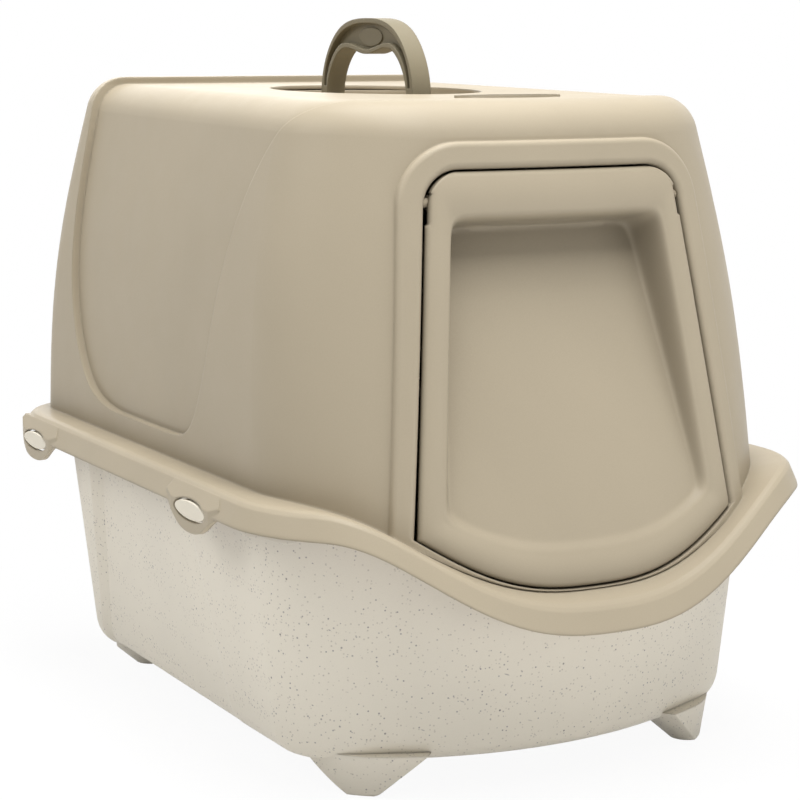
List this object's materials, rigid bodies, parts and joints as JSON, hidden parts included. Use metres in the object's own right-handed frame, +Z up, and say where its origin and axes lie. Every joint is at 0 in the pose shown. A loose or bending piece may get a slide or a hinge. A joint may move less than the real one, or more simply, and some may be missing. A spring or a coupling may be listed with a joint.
{
  "type": "hooded cat litter box",
  "caption": "Hooded cat litter box: speckled tray, lift-off hood with a swinging dished flap in a dipped front, fold-down carrying handle in a top recess and a filter drawer under its vents.",
  "frame": {"origin": "middle of the footprint, on the floor under the feet", "axes": "+Z up; -Y points out of the door; +X is on the right of someone who stands before the door and looks at it"},
  "size_m": [0.4008, 0.54, 0.472],
  "materials": {
    "speckled_cream": "fine grain with dark specks",
    "stud_cream": "satin",
    "tan_shell": "satin",
    "tan_flap": "satin",
    "tan_handle": "satin",
    "pin": "satin",
    "drawer": "satin",
    "filter_felt": "carbon felt"
  },
  "bodies": {
    "tray_body": {"tray": "speckled_cream", "stud_front_left": "stud_cream", "stud_front_right": "stud_cream", "stud_rear_left": "stud_cream", "stud_rear_right": "stud_cream"},
    "hood_body": {"hood": "tan_shell"},
    "flap_body": {"flap": "tan_flap", "flap_pin_left": "pin", "flap_pin_right": "pin"},
    "handle_body": {"handle": "tan_handle", "handle_pin_front": "pin", "handle_pin_rear": "pin"},
    "filter_body": {"filter_drawer": "drawer", "filter_pad": "filter_felt"}
  },
  "joints": [
    {"name": "hood_lift", "type": "slide", "parent": "tray_body", "child": "hood_body", "axis": [0, 0, 1], "range_m": [0, 0.25], "deforming": ["stud_front_left", "stud_front_right", "stud_rear_left", "stud_rear_right"]},
    {"name": "flap_swing", "type": "hinge", "parent": "hood_body", "child": "flap_body", "pos_m": [0, -0.1908, 0.362], "axis": [1, 0, 0], "range_deg": [-75, 75]},
    {"name": "handle_fold", "type": "hinge", "parent": "hood_body", "child": "handle_body", "pos_m": [0, 0.04, 0.411], "axis": [0, 1, 0], "range_deg": [-90, 90]},
    {"name": "filter_slide", "type": "slide", "parent": "hood_body", "child": "filter_body", "axis": [0, 1, 0], "range_m": [0, 0.09]}
  ]
}
